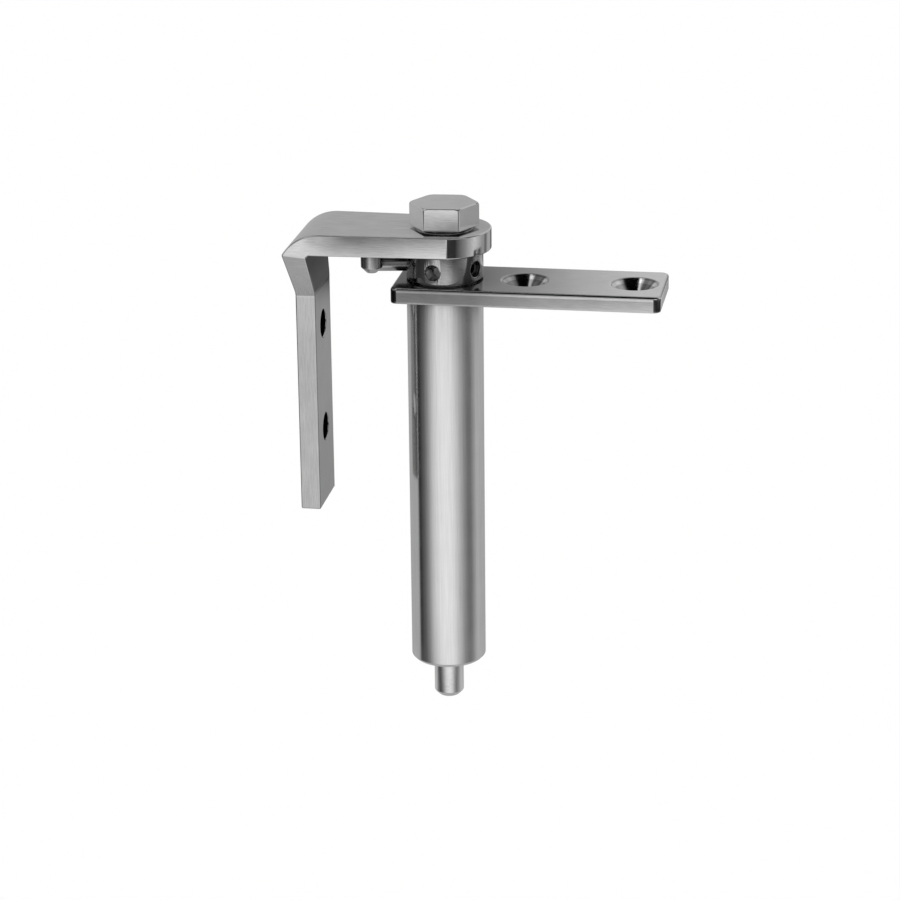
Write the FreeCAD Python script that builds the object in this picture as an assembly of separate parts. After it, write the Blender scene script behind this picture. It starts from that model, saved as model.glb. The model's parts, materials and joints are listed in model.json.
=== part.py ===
import FreeCAD, Part
import math
import os

# Offset pivot hinge with a spring barrel, in millimetres and degrees.
# The origin is on the pivot axis, at the underside of the door plate.
# +Z is up the pivot axis, the door plate points along +X and the arm along -X.

# Spindle and its hexagon head
spindle_diameter = 12.0
head_across_flats = 18.0
head_height = 7.5
head_corner_cut = 0.7
head_chamfer_angle = 30.0
head_turn = 3.8
washer_face_inset = 0.7
washer_face_height = 0.6
stub_diameter = 9.0
stub_length = 13.0
stub_chamfer = 1.5

# Offset arm, forged from flat bar
arm_thickness = 6.4
arm_width = 27.0
arm_flare = 1.5
arm_end_bulge = 0.35
arm_reach = 45.9
bend_outside_radius = 13.0
bend_inside_radius = 0.8
leg_thickness = 6.0
leg_width = 21.0
leg_inset = 2.9
leg_drop = 86.6
lean_outside_angle = 13.2
lean_inside_angle = 8.0
lean_end_radius = 8.0

# Bolt holes in the leg
leg_hole_diameter = 8.4
leg_hole_pitch = 32.5
leg_hole_end_distance = 23.2

# Stop stud under the arm
stud_diameter = 6.4
stud_reach_past_pin = 1.0
stud_chamfer = 1.7
stud_tail_diameter = 5.0
stud_tail_length = 4.0
stud_distance = 22.0

# Tension collar, its holes, pin and set screw
collar_diameter = 22.8
collar_height = 7.9
collar_hole_diameter = 4.8
collar_hole_rise = 3.6
collar_hole_count = 5
pin_angle = 189.0
pin_diameter = 4.2
pin_reach_past_stud = 0.5
pin_chamfer = 0.5
set_screw_hole = 2
set_screw_length = 4.0
set_screw_socket = 2.5
set_screw_socket_depth = 2.0

# Thin washers above and below the collar
washer_inset = 1.4
washer_thickness = 0.5

# Door plate
plate_thickness = 4.8
plate_width = 28.0
plate_length = 79.2
plate_heel = 14.1
plate_corner_radius = 2.2
plate_edge_chamfer = 0.6
screw_hole_diameter = 6.4
countersink_land = 0.9
countersink_angle = 90.0
screw_hole_pitch = 32.2
screw_hole_toe_land = 1.8

# Spring barrel
barrel_diameter = 22.7
barrel_wall = 1.6
barrel_length = 116.0
barrel_end_chamfer = 1.0

# Bushes and lower plug
upper_bush_wall = 2.5
upper_bush_flange_height = 6.0
lower_plug_height = 12.0
lower_plug_recess = 0.5
lower_bush_wall = 1.5
lower_bush_flange_width = 1.5
lower_bush_flange_height = 1.5

# Spring, with square wire, and its upper anchor
spring_turns = 16
spring_bends_per_turn = 10
spring_tang_length = 4.0
spring_tang_angle = 90.0
anchor_height = 9.0
anchor_pin_diameter = 3.0

# Clearances
running_clearance = 0.05
seat_clearance = 0.05
pin_stop_gap = 0.1
end_gap = 0.3
spring_side_gap = 0.65
washer_bore_clearance = 0.3
tang_clearance = 0.2

# Levels along the pivot axis, upwards from the plate's underside
plate_top = plate_thickness
collar_bottom = plate_top + washer_thickness
collar_top = collar_bottom + collar_height
collar_hole_level = collar_bottom + collar_hole_rise
arm_bottom = collar_top + washer_thickness
arm_top = arm_bottom + arm_thickness
head_top = arm_top + head_height
leg_bottom = arm_top - leg_drop

# Levels inside the barrel, downwards from the plate's underside
barrel_bottom = -barrel_length
plug_bottom = barrel_bottom + lower_plug_recess
plug_top = plug_bottom + lower_plug_height
spindle_shoulder = plug_top + end_gap
stub_bottom = barrel_bottom - stub_length
anchor_top = -upper_bush_flange_height - end_gap
anchor_bottom = anchor_top - anchor_height
anchor_middle = (anchor_top + anchor_bottom) / 2

# Outline of the arm
arm_width_at_bend = arm_width + 2 * arm_flare
arm_end_radius = arm_width / 2 + arm_end_bulge

# Sizes shared by pieces that fit together
spindle_bore = spindle_diameter + 2 * running_clearance
stub_bore = stub_diameter + 2 * running_clearance
barrel_bore = barrel_diameter - 2 * barrel_wall
barrel_insert_diameter = barrel_bore - 2 * seat_clearance
upper_bush_neck_diameter = spindle_bore + 2 * upper_bush_wall
lower_bush_diameter = stub_bore + 2 * lower_bush_wall
lower_bush_flange_diameter = lower_bush_diameter + 2 * lower_bush_flange_width
spring_mean_diameter = (spindle_diameter + barrel_bore) / 2
wire_size = (barrel_bore - spindle_diameter) / 2 - 2 * spring_side_gap
set_screw_diameter = collar_hole_diameter - 2 * seat_clearance
collar_hole_step = 360.0 / collar_hole_count
set_screw_angle = pin_angle + set_screw_hole * collar_hole_step
stud_length = arm_bottom - collar_hole_level + stud_reach_past_pin
stud_contact = (pin_diameter + stud_diameter) / 2 + pin_stop_gap
stud_angle = pin_angle + math.degrees(math.asin(stud_contact / stud_distance))


def at(x, y, z):
    return FreeCAD.Vector(x, y, z)


def heading(angle):
    """Horizontal unit vector at an angle from +X."""
    return at(math.cos(math.radians(angle)), math.sin(math.radians(angle)), 0)


def disc(diameter, low, high):
    """Cylinder on the pivot axis between two levels."""
    return Part.makeCylinder(diameter / 2, high - low, at(0, 0, low))


def ring(outer_diameter, inner_diameter, low, high):
    return disc(outer_diameter, low, high).cut(disc(inner_diameter, low, high))


def turned(profile):
    """Solid of revolution about the pivot axis from (radius, level) corners."""
    corners = [at(radius, 0, level) for radius, level in profile]
    face = Part.Face(Part.makePolygon(corners + corners[:1]))
    return face.revolve(at(0, 0, 0), at(0, 0, 1), 360)


def radial_rod(diameter, angle, inner, outer, level):
    """Cylinder that points away from the pivot axis."""
    start = heading(angle) * inner + at(0, 0, level)
    return Part.makeCylinder(diameter / 2, outer - inner, start, heading(angle))


def hexagon(across_flats):
    """Flat hexagon about the origin, with one flat towards -Y."""
    corner_radius = across_flats / math.sqrt(3)
    corners = [heading(60 * side) * corner_radius for side in range(7)]
    return Part.Face(Part.makePolygon(corners))


def edges_at_level(shape, level):
    """Edges that lie wholly at one level."""
    def is_level(edge):
        return max(abs(vertex.Z - level) for vertex in edge.Vertexes) < 1e-6
    return [edge for edge in shape.Edges if is_level(edge)]


def side_point(centre, radius, angle):
    """Point in the XZ plane on a circle about centre."""
    turn = math.radians(angle)
    return centre + at(radius * math.cos(turn), 0, radius * math.sin(turn))


def side_arc(centre, radius, first, last):
    """Arc in the XZ plane between two angles."""
    ends = [side_point(centre, radius, angle) for angle in (first, (first + last) / 2, last)]
    return Part.Arc(*ends).toShape()


def joined_face(curves):
    """Face inside curves that follow each other, with straight lines across the gaps."""
    edges = []
    for curve, following in zip(curves, curves[1:] + curves[:1]):
        edges.append(curve)
        leave = curve.valueAt(curve.LastParameter)
        arrive = following.valueAt(following.FirstParameter)
        if leave.distanceToPoint(arrive) > 1e-6:
            edges.append(Part.makeLine(leave, arrive))
    return Part.Face(Part.Wire(edges))


# Bend of the arm: a round shoulder down to a corner level with the arm's underside,
# then both faces lean in before the leg hangs plumb
outside_turn = math.radians(lean_outside_angle)
inside_turn = math.radians(lean_inside_angle)
shoulder_rise = bend_outside_radius - arm_thickness
shoulder_run = math.sqrt(bend_outside_radius ** 2 - shoulder_rise ** 2)
shoulder_centre = at(shoulder_run - arm_reach, 0, arm_top - bend_outside_radius)
leg_outer_face = leg_inset - arm_reach
leg_inner_face = leg_outer_face + leg_thickness
lean_length = (leg_inset - lean_end_radius * (1 - math.cos(outside_turn))) / math.sin(outside_turn)
lean_height = lean_length * math.cos(outside_turn) + lean_end_radius * math.sin(outside_turn)
plumb_level = arm_bottom - lean_height
outer_plumb_centre = at(leg_outer_face - lean_end_radius, 0, plumb_level)
inner_plumb_radius = lean_end_radius + leg_thickness
inner_plumb_centre = at(leg_inner_face - inner_plumb_radius, 0, plumb_level)
inner_lean_start = side_point(inner_plumb_centre, inner_plumb_radius, lean_inside_angle)
throat_level = arm_bottom - bend_inside_radius
throat_rise = throat_level - bend_inside_radius * math.sin(inside_turn) - inner_lean_start.z
throat_centre = at(
    inner_lean_start.x - throat_rise * math.tan(inside_turn) + bend_inside_radius * math.cos(inside_turn),
    0,
    throat_level,
)


def arm_side_outline():
    """Side outline of the arm and its leg, in the XZ plane."""
    corner_angle = 180 - math.degrees(math.asin(shoulder_rise / bend_outside_radius))
    tip = arm_end_radius
    return joined_face([
        side_arc(shoulder_centre, bend_outside_radius, 90, corner_angle),
        side_arc(outer_plumb_centre, lean_end_radius, lean_outside_angle, 0),
        Part.makeLine(at(leg_outer_face, 0, leg_bottom), at(leg_inner_face, 0, leg_bottom)),
        side_arc(inner_plumb_centre, inner_plumb_radius, 0, lean_inside_angle),
        side_arc(throat_centre, bend_inside_radius, 180 + lean_inside_angle, 90),
        Part.makeLine(at(tip, 0, arm_bottom), at(tip, 0, arm_top)),
    ])


def arm_plan_outline():
    """Plan outline of the arm: sides that close in a little towards a round end about the pivot."""
    half = arm_width / 2
    bend_half = arm_width_at_bend / 2
    crease = math.sqrt(arm_end_radius ** 2 - half ** 2)
    round_end = Part.Arc(at(crease, -half, 0), at(arm_end_radius, 0, 0), at(crease, half, 0))
    far_edge = Part.makeLine(at(-arm_reach, bend_half, 0), at(-arm_reach, -bend_half, 0))
    return joined_face([round_end.toShape(), far_edge])


def arm_end_outline():
    """Outline of the arm from its leg side: full width above, narrowing to the leg."""
    bend_half = arm_width_at_bend / 2
    leg_half = leg_width / 2
    right = [
        (bend_half, arm_top),
        (bend_half, arm_bottom),
        (leg_half, plumb_level),
        (leg_half, leg_bottom),
    ]
    left = [(-y, z) for y, z in reversed(right)]
    corners = [at(0, y, z) for y, z in right + left]
    return Part.Face(Part.makePolygon(corners + corners[:1]))


def make_offset_arm():
    """Arm cut to its side, plan and end outlines, with the spindle, bolt and stud holes."""
    side = arm_side_outline()
    side.translate(at(0, -arm_width_at_bend / 2, 0))
    plan = arm_plan_outline()
    plan.translate(at(0, 0, leg_bottom))
    end = arm_end_outline()
    end.translate(at(-arm_reach, 0, 0))
    bar = side.extrude(at(0, arm_width_at_bend, 0))
    bar = bar.common(plan.extrude(at(0, 0, leg_drop)))
    bar = bar.common(end.extrude(at(arm_reach + arm_end_radius, 0, 0)))
    bar = bar.cut(disc(spindle_bore, arm_bottom, arm_top))
    for number in range(2):
        level = leg_bottom + leg_hole_end_distance + number * leg_hole_pitch
        mouth = at(-arm_reach, 0, level)
        depth = leg_inset + leg_thickness
        bar = bar.cut(Part.makeCylinder(leg_hole_diameter / 2, depth, mouth, at(1, 0, 0)))
    tail_bore = stud_tail_diameter + 2 * seat_clearance
    tail_hole = Part.makeCylinder(tail_bore / 2, stud_tail_length + seat_clearance, at(0, 0, arm_bottom))
    tail_hole.translate(heading(stud_angle) * stud_distance)
    return bar.cut(tail_hole)


def make_stop_stud():
    """Stud with a chamfered lower end and a tail pressed up into the arm."""
    radius = stud_diameter / 2
    tail_radius = stud_tail_diameter / 2
    low = arm_bottom - stud_length
    stud = turned([
        (0, low),
        (radius - stud_chamfer, low),
        (radius, low + stud_chamfer),
        (radius, arm_bottom),
        (tail_radius, arm_bottom),
        (tail_radius, arm_bottom + stud_tail_length),
        (0, arm_bottom + stud_tail_length),
    ])
    stud.translate(heading(stud_angle) * stud_distance)
    return stud


def make_hex_head():
    """Hexagon head with a washer face below and its corners turned off above."""
    blank = hexagon(head_across_flats)
    blank.rotate(at(0, 0, 0), at(0, 0, 1), head_turn)
    blank.translate(at(0, 0, arm_top + washer_face_height))
    blank = blank.extrude(at(0, 0, head_height - washer_face_height))
    rim = head_across_flats
    top_radius = head_across_flats / math.sqrt(3) - head_corner_cut
    fall = (rim - top_radius) * math.tan(math.radians(head_chamfer_angle))
    envelope = turned([
        (0, arm_top),
        (rim, arm_top),
        (rim, head_top - fall),
        (top_radius, head_top),
        (0, head_top),
    ])
    washer_face_diameter = head_across_flats - 2 * washer_face_inset
    washer_face = disc(washer_face_diameter, arm_top, arm_top + washer_face_height)
    return blank.common(envelope).fuse(washer_face)


def make_hex_spindle():
    """Long spindle with a hexagon head, a shoulder above the lower bush and a stub below it."""
    radius = spindle_diameter / 2
    stub_radius = stub_diameter / 2
    shaft = turned([
        (0, stub_bottom),
        (stub_radius - stub_chamfer, stub_bottom),
        (stub_radius, stub_bottom + stub_chamfer),
        (stub_radius, spindle_shoulder),
        (radius, spindle_shoulder),
        (radius, arm_top),
        (0, arm_top),
    ])
    spindle = shaft.fuse(make_hex_head()).removeSplitter()
    pin_bore = anchor_pin_diameter + 2 * seat_clearance
    return spindle.cut(radial_rod(pin_bore, 0, -spindle_diameter, spindle_diameter, anchor_middle))


def make_tension_collar():
    """Collar with a ring of radial holes for the pin, the set screw and a bar to wind it."""
    collar = ring(collar_diameter, spindle_bore, collar_bottom, collar_top)
    for number in range(collar_hole_count):
        angle = pin_angle + number * collar_hole_step
        collar = collar.cut(radial_rod(collar_hole_diameter, angle, 0, collar_diameter, collar_hole_level))
    return collar


def make_collar_set_screw():
    """Socket set screw whose tip bears on the spindle."""
    tip = spindle_diameter / 2
    screw = radial_rod(set_screw_diameter, set_screw_angle, tip, tip + set_screw_length, collar_hole_level)
    socket = hexagon(set_screw_socket).extrude(at(0, 0, set_screw_socket_depth))
    socket.rotate(at(0, 0, 0), at(0, 1, 0), 90)
    socket.translate(at(tip + set_screw_length - set_screw_socket_depth, 0, collar_hole_level))
    socket.rotate(at(0, 0, 0), at(0, 0, 1), set_screw_angle)
    return screw.cut(socket)


def make_tension_pin():
    """Removable pin in a collar hole, with both ends chamfered."""
    radius = pin_diameter / 2
    inner = spindle_diameter / 2 + end_gap
    outer = stud_distance + pin_reach_past_stud
    pin = turned([
        (0, inner),
        (radius - pin_chamfer, inner),
        (radius, inner + pin_chamfer),
        (radius, outer - pin_chamfer),
        (radius - pin_chamfer, outer),
        (0, outer),
    ])
    pin.rotate(at(0, 0, 0), at(0, 1, 0), 90)
    pin.rotate(at(0, 0, 0), at(0, 0, 1), pin_angle)
    pin.translate(at(0, 0, collar_hole_level))
    return pin


def make_washer(low):
    bore = spindle_diameter + 2 * washer_bore_clearance
    return ring(collar_diameter - 2 * washer_inset, bore, low, low + washer_thickness)


def make_door_plate():
    """Plate with rounded corners, eased upper edges, the bush hole and two countersunk screw holes."""
    plate = Part.makeBox(plate_length, plate_width, plate_thickness, at(-plate_heel, -plate_width / 2, 0))
    upright = [edge for edge in plate.Edges if abs(edge.tangentAt(edge.FirstParameter).z) > 0.5]
    plate = plate.makeFillet(plate_corner_radius, upright)
    plate = plate.makeChamfer(plate_edge_chamfer, edges_at_level(plate, plate_top))
    plate = plate.cut(disc(upper_bush_neck_diameter + 2 * seat_clearance, 0, plate_top))
    radius = screw_hole_diameter / 2
    sink_depth = plate_thickness - countersink_land
    sink_radius = radius + sink_depth * math.tan(math.radians(countersink_angle / 2))
    last_hole = plate_length - plate_heel - screw_hole_toe_land - sink_radius
    for number in range(2):
        hole = turned([
            (0, 0),
            (radius, 0),
            (radius, countersink_land),
            (sink_radius, plate_top),
            (0, plate_top),
        ])
        hole.translate(at(last_hole - number * screw_hole_pitch, 0, 0))
        plate = plate.cut(hole)
    return plate


def make_spring_barrel():
    """Plain tube under the plate, chamfered outside at its lower end."""
    radius = barrel_diameter / 2
    bore_radius = barrel_bore / 2
    return turned([
        (bore_radius, barrel_bottom),
        (radius - barrel_end_chamfer, barrel_bottom),
        (radius, barrel_bottom + barrel_end_chamfer),
        (radius, 0),
        (bore_radius, 0),
    ])


def make_upper_bush():
    """Bush whose neck goes up into the plate and whose flange centres the barrel."""
    neck = disc(upper_bush_neck_diameter, 0, plate_top)
    flange = disc(barrel_insert_diameter, -upper_bush_flange_height, 0)
    return neck.fuse(flange).cut(disc(spindle_bore, -upper_bush_flange_height, plate_top))


def tang_slot(low, high):
    """Radial slot, open to the outside, for an upright end of the spring."""
    width = wire_size + 2 * tang_clearance
    slot = Part.makeBox(barrel_bore, width, high - low, at(0, -width / 2, low))
    slot.rotate(at(0, 0, 0), at(0, 0, 1), spring_tang_angle)
    return slot


def make_spring_anchor():
    """Ring on the spindle that takes the spring's upper tang and a cross pin."""
    anchor = ring(barrel_insert_diameter - 2 * end_gap, spindle_bore, anchor_bottom, anchor_top)
    pin_bore = anchor_pin_diameter + 2 * seat_clearance
    anchor = anchor.cut(radial_rod(pin_bore, 0, -barrel_bore, barrel_bore, anchor_middle))
    return anchor.cut(tang_slot(anchor_bottom, anchor_bottom + spring_tang_length + end_gap))


def make_anchor_pin():
    """Cross pin through the anchor ring and the spindle."""
    half = barrel_insert_diameter / 2 - 2 * end_gap
    return radial_rod(anchor_pin_diameter, 0, -half, half, anchor_middle)


def make_lower_plug():
    """Plug in the barrel's lower end, stepped for the flanged bush."""
    plug = disc(barrel_insert_diameter, plug_bottom, plug_top)
    plug = plug.cut(disc(lower_bush_diameter + 2 * seat_clearance, plug_bottom, plug_top))
    flange_bore = lower_bush_flange_diameter + 2 * seat_clearance
    plug = plug.cut(disc(flange_bore, plug_bottom, plug_bottom + lower_bush_flange_height))
    return plug.cut(tang_slot(plug_top - spring_tang_length - end_gap, plug_top))


def make_lower_bush():
    """Flanged bush for the spindle's stub, put in from below."""
    sleeve = disc(lower_bush_diameter, plug_bottom, plug_top)
    flange = disc(lower_bush_flange_diameter, plug_bottom, plug_bottom + lower_bush_flange_height)
    return sleeve.fuse(flange).cut(disc(stub_bore, plug_bottom, plug_top))


# Middle of the spring's wire at its lowest and highest bend
spring_low = plug_top + end_gap + wire_size / 2
spring_high = anchor_bottom - end_gap - wire_size / 2


def wire_section(step):
    """Corners of the square wire at one bend of the left-hand coil."""
    bends = spring_turns * spring_bends_per_turn
    outwards = heading(spring_tang_angle - 360.0 * step / spring_bends_per_turn)
    level = spring_low + (spring_high - spring_low) * step / bends
    middle = outwards * (spring_mean_diameter / 2) + at(0, 0, level)
    across = outwards * (wire_size / 2)
    upwards = at(0, 0, wire_size / 2)
    return [middle - across - upwards, middle + across - upwards,
            middle + across + upwards, middle - across + upwards]


def flat_face(*corners):
    return Part.Face(Part.makePolygon(list(corners) + [corners[0]]))


def spring_coil():
    """Coil of square wire, drawn as short straight runs from bend to bend."""
    sections = [wire_section(step) for step in range(spring_turns * spring_bends_per_turn + 1)]
    faces = [flat_face(*sections[0]), flat_face(*sections[-1])]
    for here, ahead in zip(sections, sections[1:]):
        for low, high in ((1, 2), (0, 3)):
            faces.append(flat_face(here[low], here[high], ahead[high], ahead[low]))
        for inner, outer in ((0, 1), (3, 2)):
            faces.append(flat_face(here[inner], here[outer], ahead[outer]))
            faces.append(flat_face(here[inner], ahead[outer], ahead[inner]))
    return Part.Solid(Part.Shell(faces))


def spring_tang(low):
    """Upright end of the wire, as high as one tang and the wire it rises from."""
    inner_side = (spring_mean_diameter - wire_size) / 2
    tang = Part.makeBox(wire_size, wire_size, spring_tang_length + wire_size,
                        at(inner_side, -wire_size / 2, low))
    tang.rotate(at(0, 0, 0), at(0, 0, 1), spring_tang_angle)
    return tang


def make_torsion_spring():
    """Torsion spring with a tang down into the plug and one up into the anchor."""
    lower_tang = spring_tang(spring_low - wire_size / 2 - spring_tang_length)
    upper_tang = spring_tang(spring_high - wire_size / 2)
    return spring_coil().fuse([lower_tang, upper_tang])


pieces = {
    "offset_arm": make_offset_arm(),
    "stop_stud": make_stop_stud(),
    "hex_spindle": make_hex_spindle(),
    "arm_washer": make_washer(collar_top),
    "tension_collar": make_tension_collar(),
    "collar_set_screw": make_collar_set_screw(),
    "tension_pin": make_tension_pin(),
    "thrust_washer": make_washer(plate_top),
    "door_plate": make_door_plate(),
    "spring_barrel": make_spring_barrel(),
    "upper_bush": make_upper_bush(),
    "spring_anchor": make_spring_anchor(),
    "anchor_pin": make_anchor_pin(),
    "torsion_spring": make_torsion_spring(),
    "lower_plug": make_lower_plug(),
    "lower_bush": make_lower_bush(),
}

os.makedirs("parts", exist_ok=True)
for name, shape in pieces.items():
    shape.exportStep("parts/" + name + ".step")
    print(name, len(shape.Solids), shape.isValid(), round(shape.Volume, 2))
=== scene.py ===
import json
import math

import bpy
from mathutils import Matrix, Vector

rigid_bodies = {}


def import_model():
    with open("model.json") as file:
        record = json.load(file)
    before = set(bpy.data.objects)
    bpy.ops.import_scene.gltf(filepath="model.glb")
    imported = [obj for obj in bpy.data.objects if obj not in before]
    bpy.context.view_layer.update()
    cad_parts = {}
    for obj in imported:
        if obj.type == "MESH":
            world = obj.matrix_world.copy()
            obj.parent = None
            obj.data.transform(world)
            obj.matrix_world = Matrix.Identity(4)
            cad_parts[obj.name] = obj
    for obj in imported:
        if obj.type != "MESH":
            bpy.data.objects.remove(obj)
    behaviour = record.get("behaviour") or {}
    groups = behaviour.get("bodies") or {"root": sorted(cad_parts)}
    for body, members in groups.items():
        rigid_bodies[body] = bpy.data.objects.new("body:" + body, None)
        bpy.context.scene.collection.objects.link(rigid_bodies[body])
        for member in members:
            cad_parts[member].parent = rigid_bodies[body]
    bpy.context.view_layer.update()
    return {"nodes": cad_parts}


# Offset pivot hinge in satin steel, on a white ground. Lengths are in metres, angles in degrees.
# The Z axis is the pivot, and Z = 0 is the underside of the door plate.

# Camera, from the photograph's own perspective
CAMERA_AZIMUTH = 9.75
CAMERA_ELEVATION = 19.17
CAMERA_ROLL = -0.61
CAMERA_DISTANCE = 0.85756
CAMERA_TARGET = Vector((0.000946, 0.000163, -0.04933))
CAMERA_LENS = 113.79
SENSOR_WIDTH = 36.0

# Studio
FLOOR_LEVEL = -0.75
FLOOR_HALF = 6.0
TENT_RADIUS = 0.6
TENT_CENTRE = Vector((0.0, 0.0, -0.05))
TENT_BOTTOM = 0.45

# Panels of the light tent, as (azimuth, grey) stops. Azimuth 0 is the front and 90 the right.
END_PANEL = [(-180, 0.45), (-118, 0.62), (-89, 0.25), (-65, 0.06), (-48, 0.10), (-30, 0.31), (-14, 0.66),
             (1, 0.84), (19, 0.89), (35, 0.72), (50, 0.40), (67, 0.20), (83, 0.31), (105, 0.48), (125, 0.58),
             (180, 0.45)]
BARREL_PANEL = [(-180, 0.40), (-150, 0.42), (-92, 0.43), (-86, 0.03), (-80, 0.03), (-62, 0.14), (-51, 0.28),
                (-31, 0.70), (-12, 0.90), (7, 0.94), (25, 0.87), (44, 0.58), (64, 0.28), (76, 0.17),
                (86, 0.17), (111, 0.48), (148, 0.44), (180, 0.40)]
COLLAR_PANEL = [(-180, 0.05), (-160, 0.10), (-95, 0.10), (-76, 0.05), (-55, 0.04), (-31, 0.20), (-22, 0.45),
                (-16, 0.75), (-12, 0.45), (-3, 0.50), (5, 0.85), (14, 0.95), (26, 0.65), (37, 0.32),
                (50, 0.12), (62, 0.04), (122, 0.04), (130, 0.45), (142, 0.60), (150, 0.80), (166, 0.80),
                (170, 0.05), (180, 0.05)]
ARM_PANEL_LEFT = [(-180, 0.10), (-172, 0.45), (-105, 0.45), (-95, 0.10)]
ARM_PANEL_RIGHT = [(35, 0.03), (60, 0.29), (86, 0.70), (112, 0.37), (119, 0.37), (125, 0.16), (130, 0.20),
                   (138, 0.45), (154, 0.45)]
ARM_FOOT_FRONT = [(-76, 0.04), (-51, 0.06), (-31, 0.25), (-13, 1.0), (-12, 0.95), (-10.5, 0.55), (-8, 0.85),
                  (-5.4, 1.2), (-4.2, 0.60), (-3, 0.30), (-1, 0.22), (5, 0.10), (12, 0.03)]
ARM_FOOT_PANEL = (ARM_PANEL_LEFT + ARM_FOOT_FRONT + ARM_PANEL_RIGHT
                  + [(160, 0.14), (176, 0.14), (180, 0.10)])
ARM_BROW_FRONT = [(-51, 0.08), (-12, 0.12), (-8, 0.28), (-4.5, 0.45), (-3, 1.0), (1, 1.0), (6, 0.05)]
ARM_BROW_PANEL = (ARM_PANEL_LEFT + ARM_BROW_FRONT + ARM_PANEL_RIGHT
                  + [(160, 0.11), (176, 0.11), (180, 0.10)])
REAR_LEFT = [(-180, 0.70), (-177.5, 0.66), (-174, 0.42), (-170, 0.46), (-160, 0.46)]
FRONT_AND_REAR = [(-60, 0.32), (10, 0.32), (25, 0.50), (60, 0.50), (68, 0.10), (100, 0.10), (115, 0.60),
                  (130, 0.60), (145, 0.46), (170, 0.70), (180, 0.70)]
UPPER_PANEL = REAR_LEFT + [(-145, 0.40), (-130, 0.60), (-80, 0.60)] + FRONT_AND_REAR
HIGH_PANEL = REAR_LEFT + [(-145, 0.18), (-120, 0.13), (-100, 0.13)] + FRONT_AND_REAR
TOP_PANEL = [(-180, 0.30), (-115, 0.22), (-96, 0.12), (-72, 0.14), (-62, 1.2), (-42, 1.2), (-30, 0.0),
             (95, 0.0), (108, 0.40), (130, 0.50), (150, 0.40), (180, 0.30)]

# Bands of the tent from its bottom up: the elevations where a panel starts and where it is full
TENT_BANDS = [
    (-45, -40, END_PANEL),
    (-30, -29, BARREL_PANEL),
    (-12, -10.8, COLLAR_PANEL),
    (-9.8, -9.6, ARM_FOOT_PANEL),
    (-8, 2.5, ARM_BROW_PANEL),
    (6, 10, UPPER_PANEL),
    (32, 35, HIGH_PANEL),
    (44, 48, TOP_PANEL),
]

# Places on the part that its materials follow
ARM_UNDERSIDE = 0.0137
BEND_START = -0.0400
BEND_END = -0.02667
INNER_FACE_LIMIT = -0.02
LEG_HOLES = [(0.0, -0.0108), (0.0, -0.0433)]
LEG_HOLE_RADIUS = 0.00422
WASHER_FACE_LEVEL = 0.0204
HEAD_UNDERSIDE = 0.0207
PLATE_HOLES = [(0.0240, 0.0), (0.0562, 0.0)]
PLATE_HOLE_RADIUS = 0.00325
PLATE_MIDDLE = 0.0255
CORNER_START_ALONG = 0.0376
CORNER_START_ACROSS = 0.0119
COLLAR_INSIDE = [(0.0, 0.0)]
COLLAR_INSIDE_RADIUS = 0.01085

# Slope at the foot of a crowned edge, and how fast it changes with height
ARM_LEAN = -0.021
ARM_CURVE = -5.5
HEAD_LEAN = 0.009
HEAD_CURVE = -5.4

# Directions of the surface grain, as noise scales along X, Y and Z
ALONG_BAR = (250.0, 5000.0, 5000.0)
ALONG_LEG = (5000.0, 5000.0, 250.0)
ROUND_TURNED = (400.0, 400.0, 7000.0)
ALONG_TUBE = (2500.0, 2500.0, 60.0)
EVEN = (160.0, 160.0, 160.0)

# Steel in general
GRAIN_DETAIL = 3.0
GRAIN_SHARE = 0.65
GRAIN_DEPTH = 0.00002
MOTTLE_DETAIL = 4.0
MOTTLE_SHARE = 0.35
WORN_AND_HIGHLIT_BRIGHTNESS = 1.4
BRIGHTEST_WORN_AND_HIGHLIT = 0.95
CORNER_SHADE_REACH = 0.012
HOLLOW_ROUGHNESS = 0.15
UNTINTED = (1.0, 1.0, 1.0)

# Eased edges
WELD_DISTANCE = 0.000001
FLAT_ANGLE = 0.5
EDGE_ANGLE = 11
EDGE_SEGMENTS = 3

for leftover in list(bpy.data.objects):
    bpy.data.objects.remove(leftover)

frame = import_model()
nodes = frame["nodes"]


def ramp(tree, source, stops, easing="LINEAR"):
    """Colour ramp of grey values from (position, grey) stops, with positions from 0 to 1."""
    node = tree.nodes.new("ShaderNodeValToRGB")
    node.color_ramp.interpolation = easing
    elements = node.color_ramp.elements
    elements.remove(elements[-1])
    first_position, first_grey = stops[0]
    elements[0].position = first_position
    elements[0].color = (first_grey, first_grey, first_grey, 1.0)
    for position, grey in stops[1:]:
        elements.new(position).color = (grey, grey, grey, 1.0)
    tree.links.new(source, node.inputs["Fac"])
    return node.outputs["Color"]


def calc(tree, operation, *values):
    """Math node over sockets or numbers."""
    node = tree.nodes.new("ShaderNodeMath")
    node.operation = operation
    for socket, value in zip(node.inputs, values):
        if isinstance(value, (int, float)):
            socket.default_value = value
        else:
            tree.links.new(value, socket)
    return node.outputs[0]


def graded(tree, coordinate, stops, easing="LINEAR"):
    """Grey values along a coordinate, from (metres, grey) stops."""
    start = stops[0][0]
    length = stops[-1][0] - start
    share = calc(tree, "MULTIPLY_ADD", coordinate, 1 / length, -start / length)
    return ramp(tree, share, [((metres - start) / length, grey) for metres, grey in stops], easing)


def mixed(tree, factor, first, second):
    """Mix of two colours by a factor socket; a grey number stands for a colour."""
    node = tree.nodes.new("ShaderNodeMix")
    node.data_type = "RGBA"
    tree.links.new(factor, node.inputs["Factor"])
    first_colour, second_colour = node.inputs[6:8]
    for socket, value in ((first_colour, first), (second_colour, second)):
        if isinstance(value, (int, float)):
            socket.default_value = (value, value, value, 1.0)
        else:
            tree.links.new(value, socket)
    return node.outputs[2]


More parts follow.
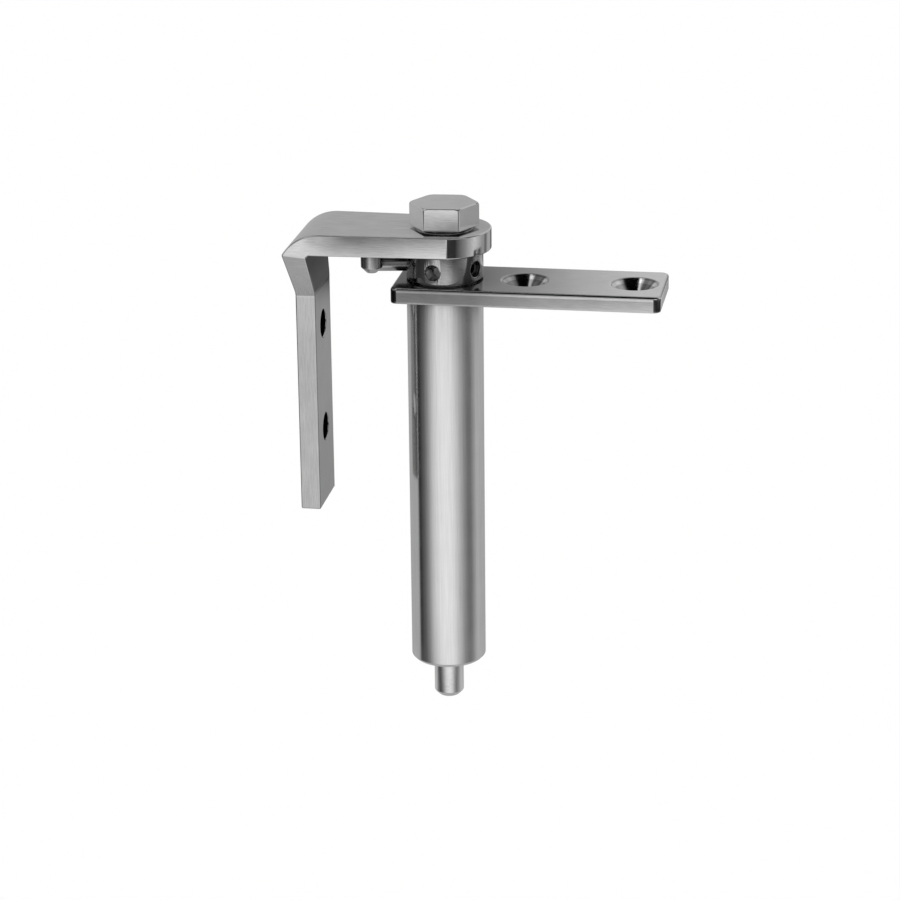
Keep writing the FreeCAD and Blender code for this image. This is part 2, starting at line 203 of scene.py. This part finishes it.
def parts_of(tree, vector):
    """X, Y and Z sockets of a vector."""
    split = tree.nodes.new("ShaderNodeSeparateXYZ")
    tree.links.new(vector, split.inputs["Vector"])
    return split.outputs["X"], split.outputs["Y"], split.outputs["Z"]


def place(tree):
    """X, Y and Z sockets of the point in the object's own coordinates."""
    return parts_of(tree, tree.nodes.new("ShaderNodeTexCoord").outputs["Object"])


def facing(tree):
    """X, Y and Z sockets of the surface's normal."""
    return parts_of(tree, tree.nodes.new("ShaderNodeNewGeometry").outputs["Normal"])


def noise(tree, stretch, detail):
    """Noise in the object's own coordinates, with one scale per axis."""
    coordinates = tree.nodes.new("ShaderNodeTexCoord")
    mapping = tree.nodes.new("ShaderNodeMapping")
    mapping.inputs["Scale"].default_value = stretch
    texture = tree.nodes.new("ShaderNodeTexNoise")
    texture.inputs["Scale"].default_value = 1.0
    texture.inputs["Detail"].default_value = detail
    tree.links.new(coordinates.outputs["Object"], mapping.inputs["Vector"])
    tree.links.new(mapping.outputs["Vector"], texture.inputs["Vector"])
    return texture.outputs["Fac"]


def within(tree, first, second, centres, radius):
    """1 inside any of the circles in the two coordinates, 0 outside them."""
    found = 0.0
    for first_centre, second_centre in centres:
        across = calc(tree, "SUBTRACT", first, first_centre)
        along = calc(tree, "SUBTRACT", second, second_centre)
        squares = calc(tree, "MULTIPLY_ADD", across, across, calc(tree, "MULTIPLY", along, along))
        found = calc(tree, "MAXIMUM", calc(tree, "LESS_THAN", squares, radius * radius), found)
    return found


def worn_and_highlit_edges(tree, width):
    """1 along the edges of the part, 0 on its flats; the brightening there is partly worn metal and partly a
    painted highlight.
    """
    rounded = tree.nodes.new("ShaderNodeBevel")
    rounded.samples = 4
    rounded.inputs["Radius"].default_value = width
    geometry = tree.nodes.new("ShaderNodeNewGeometry")
    likeness = tree.nodes.new("ShaderNodeVectorMath")
    likeness.operation = "DOT_PRODUCT"
    tree.links.new(rounded.outputs["Normal"], likeness.inputs[0])
    tree.links.new(geometry.outputs["Normal"], likeness.inputs[1])
    return ramp(tree, likeness.outputs["Value"], [(0.90, 1.0), (0.995, 0.0)])


def painted_corner_shade(tree, darkest):
    """Painted shade: 1 in the open, falling to the darkest share in deep corners."""
    corner = tree.nodes.new("ShaderNodeAmbientOcclusion")
    corner.samples = 8
    corner.inputs["Distance"].default_value = CORNER_SHADE_REACH
    return ramp(tree, corner.outputs["AO"], [(0.25, darkest), (0.85, 1.0)])


def tinted(tree, grey, tint):
    """A grey socket coloured by red, green and blue shares."""
    colour = tree.nodes.new("ShaderNodeCombineColor")
    for socket, share in zip(colour.inputs, tint):
        tree.links.new(calc(tree, "MULTIPLY", grey, share), socket)
    return colour.outputs["Color"]


def relief(tree, grain, strength, crown):
    """Normal of the surface with its grain, over the crown of its edges where it has one."""
    scratches = tree.nodes.new("ShaderNodeBump")
    scratches.inputs["Strength"].default_value = strength
    scratches.inputs["Distance"].default_value = GRAIN_DEPTH
    tree.links.new(grain, scratches.inputs["Height"])
    if crown:
        lean = tree.nodes.new("ShaderNodeBump")
        lean.inputs["Strength"].default_value = 1.0
        lean.inputs["Distance"].default_value = 1.0
        tree.links.new(crown(tree), lean.inputs["Height"])
        tree.links.new(lean.outputs["Normal"], scratches.inputs["Normal"])
    return scratches.outputs["Normal"]


def steel(name, tone, roughness, stretch, bump=0.10, shade=None, hollow=None, hollow_tone=0.04, crown=None,
          edge_brightening=(0.0005, 0.35), tint=UNTINTED, corner_shade=0.30, contrast=(0.86, 1.12), upright=None):
    """Satin steel with grain, mottling, uneven roughness, worn edges with a painted highlight and painted
    shade in corners.

    shade(tree) gives a socket that scales the tone with painted light and shade, hollow(tree) one that is 1
    where hollow_tone paints shade, crown(tree) the height of an edge as it leans in, polish the width and
    strength of the edge brightening, partly worn metal and partly a painted highlight, corner_shade the share
    of the tone left by painted shade in the deepest corners, contrast the grain's darkest and lightest, and
    upright(tree) a socket that is 1 where the grain runs up instead.
    """
    material = bpy.data.materials.new(name)
    material.use_nodes = True
    tree = material.node_tree
    shader = tree.nodes["Principled BSDF"]
    shader.inputs["Metallic"].default_value = 1.0

    grain = noise(tree, stretch, GRAIN_DETAIL)
    if upright:
        grain = mixed(tree, upright(tree), grain, noise(tree, ALONG_LEG, GRAIN_DETAIL))
    mottle = noise(tree, EVEN, MOTTLE_DETAIL)
    pattern = calc(tree, "MULTIPLY_ADD", grain, GRAIN_SHARE, calc(tree, "MULTIPLY", mottle, MOTTLE_SHARE))
    darkest, lightest = contrast
    grey = ramp(tree, pattern, [(0.3, tone * darkest), (0.7, min(tone * lightest, 1.0))])
    rough = ramp(tree, mottle, [(0.3, roughness * 0.85), (0.7, roughness * 1.2)])

    if shade:
        grey = calc(tree, "MULTIPLY", grey, shade(tree))
    bright_edge_width, bright_edge_strength = edge_brightening
    # Edges brightened, partly as worn metal and partly as a painted highlight
    bright_edge = calc(tree, "MULTIPLY", worn_and_highlit_edges(tree, bright_edge_width), bright_edge_strength)
    grey = mixed(tree, bright_edge, grey, min(tone * WORN_AND_HIGHLIT_BRIGHTNESS, BRIGHTEST_WORN_AND_HIGHLIT))
    # Painted shade in corners, under things and between parts
    grey = calc(tree, "MULTIPLY", grey, painted_corner_shade(tree, corner_shade))
    # Painted shade in bores and holes and under the head
    if hollow:
        shaded_hollow = hollow(tree)
        grey = mixed(tree, shaded_hollow, grey, hollow_tone)
        rough = mixed(tree, shaded_hollow, rough, HOLLOW_ROUGHNESS)
    if tint != UNTINTED:
        grey = tinted(tree, grey, tint)

    tree.links.new(grey, shader.inputs["Base Color"])
    tree.links.new(rough, shader.inputs["Roughness"])
    tree.links.new(relief(tree, grain, bump, crown), shader.inputs["Normal"])
    return material


def arm_shade(tree):
    """The leg is a little darker than the arm's flat, and painted shade darkens its inner face up into the
    bend.
    """
    along, _, level = place(tree)
    leg = graded(tree, level, [(-0.015, 0.72), (0.010, 1.0)])
    # Painted shade on the leg's inner face, darkest up in the bend
    inner = graded(tree, level, [(-0.063, 0.80), (-0.045, 0.82), (-0.035, 0.95), (-0.016, 0.95),
                                 (-0.005, 0.72), (0.0, 0.60), (0.004, 0.60), (0.0095, 0.35)])
    faces_pivot = calc(tree, "GREATER_THAN", facing(tree)[0], 0.5)
    inner_face = calc(tree, "MULTIPLY", faces_pivot, calc(tree, "LESS_THAN", along, INNER_FACE_LIMIT))
    return calc(tree, "MULTIPLY", leg, mixed(tree, inner_face, 1.0, inner))


def leg_part(tree):
    """1 on the leg, 0 on the arm's flat."""
    return graded(tree, place(tree)[2], [(0.006, 1.0), (0.012, 0.0)])


def crowned(tree, foot, lean, curve):
    """Height of an edge that leans by a slope at its foot and curves on above it."""
    rise = calc(tree, "MAXIMUM", calc(tree, "SUBTRACT", place(tree)[2], foot), 0.0)
    return calc(tree, "MULTIPLY", rise, calc(tree, "MULTIPLY_ADD", rise, curve, lean))


def arm_crown(tree):
    """The edges of the flat bar lean in towards its top, from the bend to the round end."""
    past_bend = graded(tree, place(tree)[0], [(BEND_START, 0.0), (BEND_END, 1.0)], "EASE")
    return calc(tree, "MULTIPLY", crowned(tree, ARM_UNDERSIDE, ARM_LEAN, ARM_CURVE), past_bend)


def head_crown(tree):
    """The flats of the hexagon head are faintly rounded from top to bottom."""
    return crowned(tree, HEAD_UNDERSIDE, HEAD_LEAN, HEAD_CURVE)


def arm_holes(tree):
    """The two bolt holes through the leg, painted dark as shade."""
    _, across, level = place(tree)
    return within(tree, across, level, LEG_HOLES, LEG_HOLE_RADIUS)


def plate_corners(tree):
    """1 on the upright rounds of the plate's four corners, which are painted dark as shade."""
    along, across, _ = place(tree)
    from_middle = calc(tree, "ABSOLUTE", calc(tree, "SUBTRACT", along, PLATE_MIDDLE))
    end = calc(tree, "GREATER_THAN", from_middle, CORNER_START_ALONG)
    side = calc(tree, "GREATER_THAN", calc(tree, "ABSOLUTE", across), CORNER_START_ACROSS)
    wall = calc(tree, "LESS_THAN", calc(tree, "ABSOLUTE", facing(tree)[2]), 0.3)
    return calc(tree, "MULTIPLY", wall, calc(tree, "MULTIPLY", end, side))


def plate_shade(tree):
    """Painted light on the plate: brighter towards its toe, a painted highlight along the top of its sides
    and painted shade at its corners.
    """
    along, _, level = place(tree)
    # Painted light, brighter towards the toe
    length = graded(tree, along, [(0.010, 0.40), (0.030, 0.73), (0.060, 1.0)])
    # Painted highlight along the top of the plate's sides
    highlight_strip = graded(tree, level, [(0.00335, 1.0), (0.00355, 1.7), (0.00420, 1.7), (0.00435, 1.0)])
    # Painted shade on the corner rounds
    return calc(tree, "MULTIPLY", length, mixed(tree, plate_corners(tree), highlight_strip, 0.12))


def plate_bores(tree):
    """The bores under the two countersinks, painted dark as shade."""
    along, across, _ = place(tree)
    return within(tree, along, across, PLATE_HOLES, PLATE_HOLE_RADIUS)


def under_head(tree):
    """The washer face under the hexagon head, painted dark as shade."""
    level = place(tree)[2]
    return calc(tree, "MULTIPLY", calc(tree, "GREATER_THAN", level, WASHER_FACE_LEVEL),
                calc(tree, "LESS_THAN", level, HEAD_UNDERSIDE))


def collar_holes(tree):
    """Everything inside the collar's outer face, painted darker as shade."""
    along, across, _ = place(tree)
    return within(tree, along, across, COLLAR_INSIDE, COLLAR_INSIDE_RADIUS)


# Each material: its tone, its roughness, its grain and what sets it apart
materials = {
    "arm": steel("arm_steel", 0.72, 0.09, ALONG_BAR, shade=arm_shade, hollow=arm_holes, crown=arm_crown,
                 corner_shade=0.65, upright=leg_part),
    # The plate's wider, stronger edge brightening is a painted highlight along its edges.
    "plate": steel("plate_steel", 0.62, 0.13, ALONG_BAR, shade=plate_shade, hollow=plate_bores,
                   edge_brightening=(0.0010, 0.8)),
    "tube": steel("tube_steel", 0.80, 0.14, ALONG_TUBE, bump=0.04, contrast=(0.92, 1.06)),
    "turned": steel("turned_steel", 0.80, 0.14, ROUND_TURNED),
    "head": steel("head_steel", 0.80, 0.11, ALONG_BAR, hollow=under_head, hollow_tone=0.30, crown=head_crown,
                  corner_shade=0.80),
    "collar": steel("collar_steel", 0.60, 0.10, ROUND_TURNED, hollow=collar_holes, hollow_tone=0.35),
    "pin": steel("pin_steel", 0.60, 0.20, ROUND_TURNED),
    "dark": steel("dark_steel", 0.30, 0.30, ROUND_TURNED),
    "washer": steel("washer_steel", 0.75, 0.25, ROUND_TURNED, corner_shade=0.90),
    "spring": steel("spring_steel", 0.35, 0.30, ROUND_TURNED),
    "bronze": steel("bronze", 0.62, 0.30, ROUND_TURNED, tint=(1.0, 0.74, 0.42)),
}

# The material of each node and the width of its eased edges
finishes = {
    "offset_arm": ("arm", 0.0004),
    "door_plate": ("plate", 0.0003),
    "stop_stud": ("pin", 0.00015),
    "hex_spindle": ("head", 0.0003),
    "tension_collar": ("collar", 0.00015),
    "tension_pin": ("pin", 0.0002),
    "spring_barrel": ("tube", 0.0002),
    "lower_plug": ("turned", 0.0002),
    "spring_anchor": ("turned", 0.0002),
    "anchor_pin": ("turned", 0.0),
    "collar_set_screw": ("dark", 0.0002),
    "arm_washer": ("washer", 0.0),
    "thrust_washer": ("washer", 0.0),
    "torsion_spring": ("spring", 0.0),
    "upper_bush": ("bronze", 0.0002),
    "lower_bush": ("bronze", 0.0002),
}


def ease_edges(node, width):
    """Breaks the sharp edges of a part with a small round."""
    weld = node.modifiers.new("weld", "WELD")
    weld.merge_threshold = WELD_DISTANCE
    flats = node.modifiers.new("flats", "DECIMATE")
    flats.decimate_type = "DISSOLVE"
    flats.angle_limit = math.radians(FLAT_ANGLE)
    bevel = node.modifiers.new("bevel", "BEVEL")
    bevel.limit_method = "ANGLE"
    bevel.angle_limit = math.radians(EDGE_ANGLE)
    bevel.width = width
    bevel.segments = EDGE_SEGMENTS
    bevel.use_clamp_overlap = False
    normals = node.modifiers.new("normals", "WEIGHTED_NORMAL")
    normals.keep_sharp = False


for node_name, (finish, edge_width) in finishes.items():
    nodes[node_name].data.materials[0] = materials[finish]
    if edge_width:
        ease_edges(nodes[node_name], edge_width)


def make_floor():
    """Plain white floor, far below the floating part."""
    corners = [(x * FLOOR_HALF, y * FLOOR_HALF, FLOOR_LEVEL) for x, y in ((-1, -1), (1, -1), (1, 1), (-1, 1))]
    mesh = bpy.data.meshes.new("floor")
    mesh.from_pydata(corners, [], [(0, 1, 2, 3)])
    floor = bpy.data.objects.new("floor", mesh)
    bpy.context.scene.collection.objects.link(floor)
    material = bpy.data.materials.new("floor")
    material.use_nodes = True
    shader = material.node_tree.nodes["Principled BSDF"]
    shader.inputs["Base Color"].default_value = (1.0, 1.0, 1.0, 1.0)
    shader.inputs["Roughness"].default_value = 0.9
    mesh.materials.append(material)


def tent_light():
    """Light of the tent: bands of grey panels, each by the angle round the tent."""
    material = bpy.data.materials.new("tent")
    material.use_nodes = True
    tree = material.node_tree
    tree.nodes.remove(tree.nodes["Principled BSDF"])
    emission = tree.nodes.new("ShaderNodeEmission")
    x, y, z = place(tree)
    around = calc(tree, "ARCTAN2", x, calc(tree, "MULTIPLY", y, -1.0))
    turn = calc(tree, "MULTIPLY_ADD", around, 1 / (2 * math.pi), 0.5)
    height = calc(tree, "MULTIPLY_ADD", z, 0.5 / TENT_RADIUS, 0.5)

    def height_at(elevation):
        """Share of the tent's height at an elevation seen from its centre."""
        return (math.sin(math.radians(elevation)) + 1) / 2

    light = TENT_BOTTOM
    for start, full, stops in TENT_BANDS:
        panel = ramp(tree, turn, [((azimuth + 180) / 360, grey) for azimuth, grey in stops])
        reached = ramp(tree, height, [(height_at(start), 0.0), (height_at(full), 1.0)])
        light = mixed(tree, reached, light, panel)
    tree.links.new(light, emission.inputs["Color"])
    tree.links.new(emission.outputs["Emission"], tree.nodes["Material Output"].inputs["Surface"])
    return material


def make_tent():
    """Light tent round the part, which the metal reflects and the camera doesn't see."""
    bpy.ops.mesh.primitive_uv_sphere_add(segments=64, ring_count=32, radius=TENT_RADIUS, location=TENT_CENTRE)
    tent = bpy.context.object
    tent.name = "tent"
    tent.visible_camera = False
    tent.visible_diffuse = False
    tent.visible_shadow = False
    tent.data.materials.append(tent_light())


def make_world():
    """Even white light."""
    world = bpy.data.worlds.new("studio")
    world.use_nodes = True
    background = world.node_tree.nodes["Background"]
    background.inputs["Color"].default_value = (1.0, 1.0, 1.0, 1.0)
    background.inputs["Strength"].default_value = 1.0
    bpy.context.scene.world = world


def make_camera():
    """Camera at the photograph's viewing angle."""
    azimuth = math.radians(CAMERA_AZIMUTH)
    elevation = math.radians(CAMERA_ELEVATION)
    roll = math.radians(CAMERA_ROLL)
    back = Vector((math.sin(azimuth) * math.cos(elevation), -math.cos(azimuth) * math.cos(elevation),
                   math.sin(elevation)))
    level = Vector((math.cos(azimuth), math.sin(azimuth), 0.0))
    upright = back.cross(level)
    right = level * math.cos(roll) + upright * math.sin(roll)
    up = upright * math.cos(roll) - level * math.sin(roll)
    data = bpy.data.cameras.new("camera")
    data.lens = CAMERA_LENS
    data.sensor_width = SENSOR_WIDTH
    camera = bpy.data.objects.new("camera", data)
    bpy.context.scene.collection.objects.link(camera)
    turn = Matrix((right, up, back)).transposed().to_4x4()
    camera.matrix_world = Matrix.Translation(CAMERA_TARGET + back * CAMERA_DISTANCE) @ turn
    bpy.context.scene.camera = camera


make_floor()
make_tent()
make_world()
make_camera()
bpy.context.scene.view_settings.view_transform = "Standard"
